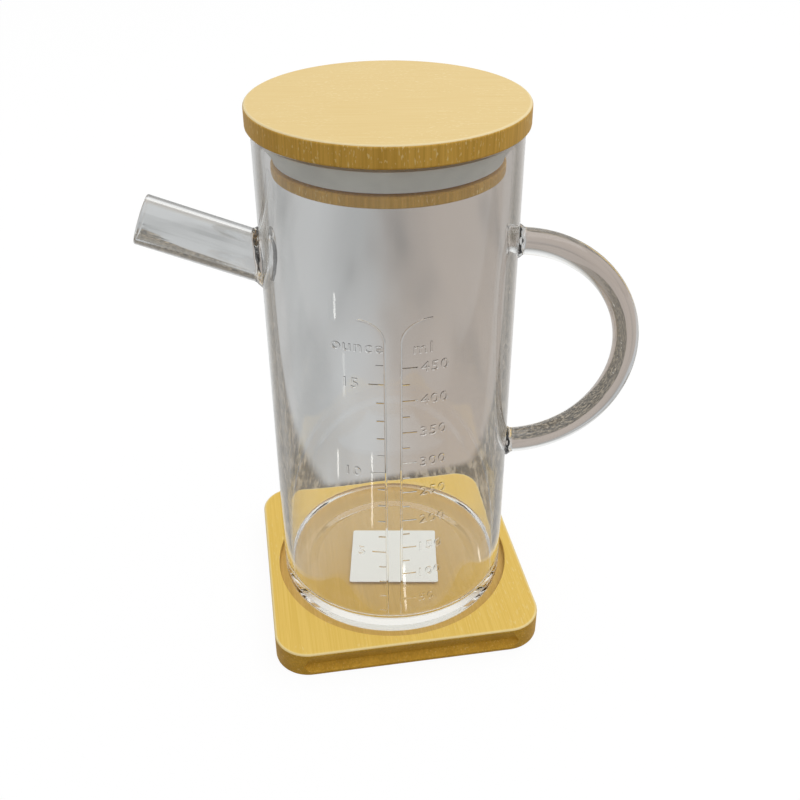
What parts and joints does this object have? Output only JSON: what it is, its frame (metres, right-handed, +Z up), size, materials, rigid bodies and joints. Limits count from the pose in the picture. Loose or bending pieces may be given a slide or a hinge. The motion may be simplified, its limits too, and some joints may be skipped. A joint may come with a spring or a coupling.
{
  "type": "oil dispenser",
  "caption": "Clear glass oil jug with a straight spout, a loop handle and a raised measuring scale, under a sealed bamboo lid and on a square bamboo tray.",
  "frame": {"origin": "on the jug's axis, at the underside of the tray, where the part rests", "axes": "+Z up along the jug's axis, +X towards the handle, -X towards the spout, -Y towards the side with the measuring scale"},
  "size_m": [0.1605, 0.1026, 0.182],
  "materials": {
    "clear_glass": "clear, polished",
    "bamboo": "satin lacquer over fine straight grain",
    "silicone": "matt, slightly cloudy",
    "paper": "matt paper"
  },
  "bodies": {
    "root": {"glass_body": "clear_glass", "lid": "bamboo", "seal_ring": "silicone", "paper_label": "paper", "base_tray": "bamboo"}
  },
  "joints": []
}
